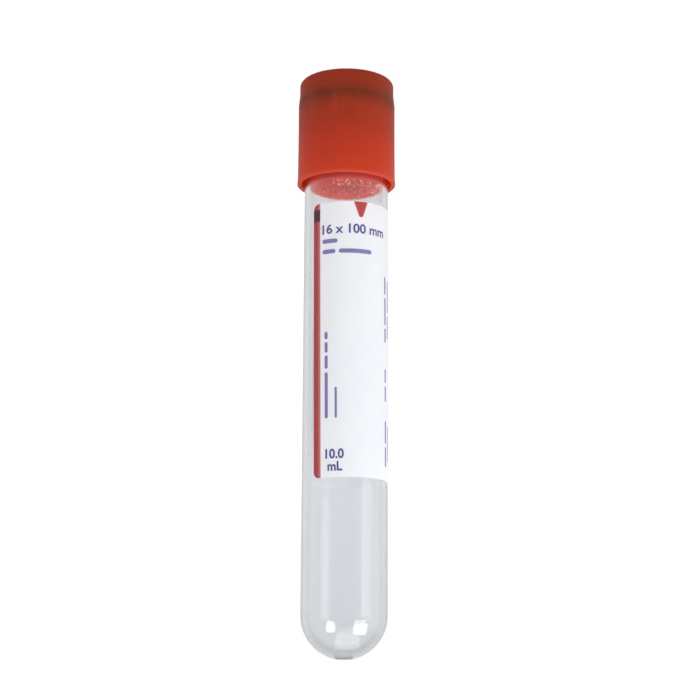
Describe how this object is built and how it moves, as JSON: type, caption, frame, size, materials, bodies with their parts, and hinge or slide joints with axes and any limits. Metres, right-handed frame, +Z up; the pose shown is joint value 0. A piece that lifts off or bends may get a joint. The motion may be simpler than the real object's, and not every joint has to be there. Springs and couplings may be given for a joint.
{
  "type": "blood collection tube",
  "caption": "Clear plastic evacuated blood tube with a round end, a wrapped label and a pull-off stopper in a red safety shield, stood upside down on its closure.",
  "frame": {"origin": "centre of the closure's flat top, on the surface that it stands on", "axes": "+Z up along the tube towards its round end, the printed front of the label towards -Y"},
  "size_m": [0.0186, 0.0186, 0.1095],
  "materials": {
    "clear_plastic": "clear moulded polyester, polished, seen through",
    "label_film": "white printed film, satin",
    "stopper_rubber": "dusty red butyl rubber, fine matte surface",
    "shield_plastic": "translucent red-orange moulded plastic, satin"
  },
  "bodies": {
    "closure": {"closure_shield": "shield_plastic", "stopper": "stopper_rubber"},
    "tube_body": {"tube": "clear_plastic", "label": "label_film"}
  },
  "joints": [
    {"name": "tube_pull", "type": "slide", "parent": "closure", "child": "tube_body", "axis": [0, 0, 1], "range_m": [0, 0.03]}
  ]
}
